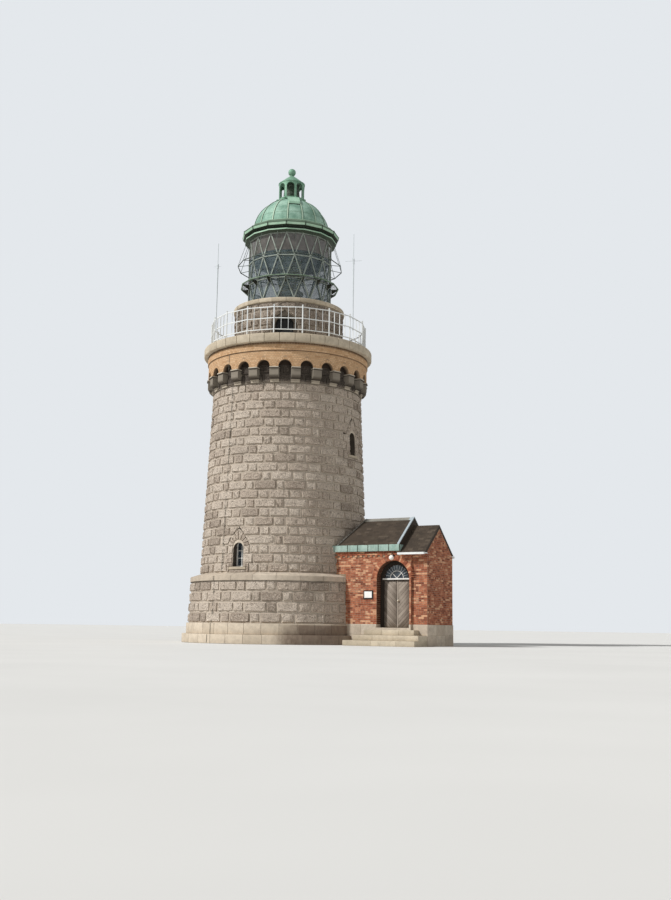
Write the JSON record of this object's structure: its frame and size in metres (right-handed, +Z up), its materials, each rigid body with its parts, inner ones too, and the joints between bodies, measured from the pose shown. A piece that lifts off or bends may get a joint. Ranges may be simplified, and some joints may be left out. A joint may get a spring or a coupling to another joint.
{
  "type": "lighthouse",
  "caption": "Round granite lighthouse with a brick arcade under its gallery, a domed glazed lantern and a small brick entrance wing with a double door.",
  "frame": {"origin": "on the tower's axis, at the underside of its footing", "axes": "+Z up, -Y out of the entrance front, +X along the entrance wing away from the tower"},
  "size_m": [11.57, 8.4996, 21.355],
  "materials": {
    "granite": "rock-faced granite",
    "dressed_granite": "dressed granite",
    "yellow_brick": "buff brickwork",
    "red_brick": "red brickwork",
    "copper": "weathered copper",
    "bronze": "weathered bronze",
    "white_metal": "white paint",
    "grey_metal": "grey paint",
    "dark_iron": "black paint",
    "glass": "clear glass",
    "lens_glass": "pressed lens glass",
    "slate": "slates",
    "weathered_wood": "bare weathered boards",
    "painted_wood": "white paint",
    "opal_glass": "opal glass"
  },
  "bodies": {
    "building": {"footing": "dressed_granite", "base_course": "dressed_granite", "plinth_wall": "granite", "belt_course": "dressed_granite", "shaft_wall": "granite", "tower_floors": "dressed_granite", "window_surrounds": "dressed_granite", "window_frames": "painted_wood", "window_glass": "glass", "corbels": "dressed_granite", "brick_arcade": "yellow_brick", "gallery_coping": "dressed_granite", "gallery_railing": "white_metal", "drum_wall": "granite", "gallery_door": "dark_iron", "drum_curb": "dressed_granite", "lantern_sill": "bronze", "lantern_lattice": "bronze", "lantern_glass": "glass", "catwalk_deck": "bronze", "catwalk_brackets": "bronze", "catwalk_handrail": "bronze", "lantern_cornice": "copper", "dome": "copper", "dome_battens": "copper", "roof_hatch": "copper", "ventilator": "copper", "finial": "copper", "optic_pedestal": "bronze", "optic_lens": "lens_glass", "aerials": "grey_metal", "lightning_conductor": "dark_iron", "entrance_plinth": "dressed_granite", "front_wall": "red_brick", "front_arch": "red_brick", "back_wall": "red_brick", "party_wall": "red_brick", "passage_floor": "dressed_granite", "roof_slopes": "slate", "wing_roof_strip": "slate", "eaves_fascia": "copper", "eaves_gutter": "white_metal", "roof_flashings": "copper", "door_frame": "weathered_wood", "door_threshold": "dressed_granite", "fanlight": "glass", "entrance_steps": "dressed_granite", "entrance_lamp": "opal_glass", "notice_board": "dark_iron"},
    "left_door": {"door_leaf_left": "weathered_wood"},
    "right_door": {"door_leaf_right": "weathered_wood"}
  },
  "joints": [
    {"name": "left_door_hinge", "type": "hinge", "parent": "building", "child": "left_door", "pos_m": [5.306, -0.837, 1.64], "axis": [0, 0, 1], "range_deg": [0, 95]},
    {"name": "right_door_hinge", "type": "hinge", "parent": "building", "child": "right_door", "pos_m": [6.414, -0.837, 1.64], "axis": [0, 0, -1], "range_deg": [0, 95]}
  ]
}
